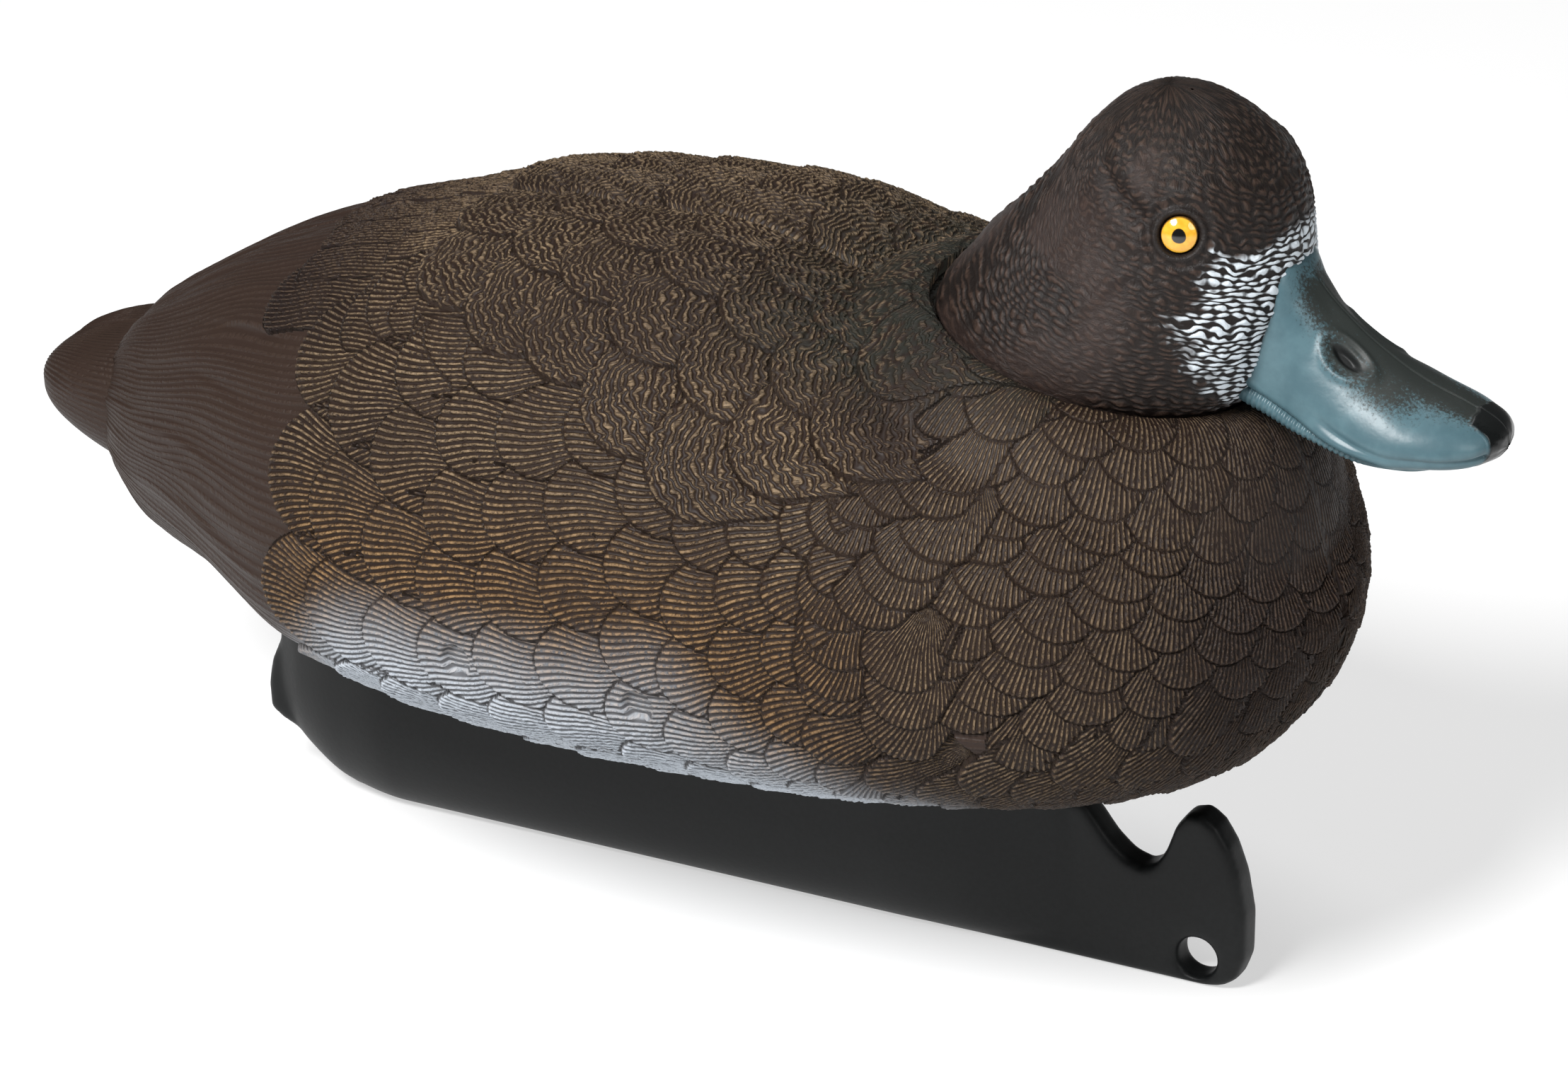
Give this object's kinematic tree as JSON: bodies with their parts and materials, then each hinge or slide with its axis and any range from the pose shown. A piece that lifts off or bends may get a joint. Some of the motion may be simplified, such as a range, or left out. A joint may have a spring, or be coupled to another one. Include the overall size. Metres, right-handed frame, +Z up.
{
  "type": "duck decoy",
  "caption": "Floating duck decoy: hollow moulded hull with feather relief, swivelling head with glass-look eyes and bill, ballasted keel with line hole and cord hook.",
  "frame": {"origin": "on the flat underside of the keel, in the parting plane, 167.5 mm ahead of the tail tip", "axes": "+X towards the bill, +Z up, the mouldings part in the plane y = 0"},
  "size_m": [0.3419, 0.1561, 0.2003],
  "materials": {
    "feather_paint": "dark brown moulded polyethylene with tan dry-brushed feather edges",
    "head_paint": "very dark brown, matt, white dry-brushed face patch",
    "bill_paint": "slate blue-grey with black overspray and nail",
    "eye_plastic": "glossy yellow-orange iris with black pupil",
    "keel_plastic": "satin black",
    "inner_plastic": "unpainted moulded plastic",
    "steel": "stainless",
    "brass": "machined",
    "seal": "matt",
    "ballast": "as cast"
  },
  "bodies": {
    "hull": {"body_shell_left": "feather_paint", "body_shell_right": "feather_paint", "flank_plugs": "feather_paint", "neck_socket": "inner_plastic", "socket_screws": "steel", "friction_washer": "seal", "keel_shell": "keel_plastic", "keel_deck": "inner_plastic", "keel_inserts": "brass", "keel_screws": "steel", "sealing_washers": "seal", "ballast_bar": "ballast", "ballast_pads": "seal"},
    "head": {"head_shell_left": "head_paint", "head_shell_right": "head_paint", "eye_left": "eye_plastic", "eye_right": "eye_plastic", "bill_upper": "bill_paint", "bill_lower": "bill_paint", "neck_hub": "inner_plastic", "neck_bolt": "steel", "thrust_washer": "steel", "spring_washer": "steel", "lock_nut": "steel"}
  },
  "joints": [
    {"name": "head_swivel", "type": "hinge", "parent": "hull", "child": "head", "pos_m": [0.0845, 0, 0.143], "axis": [0.2419, 0, 0.9703], "range_deg": [-70, 70]}
  ]
}
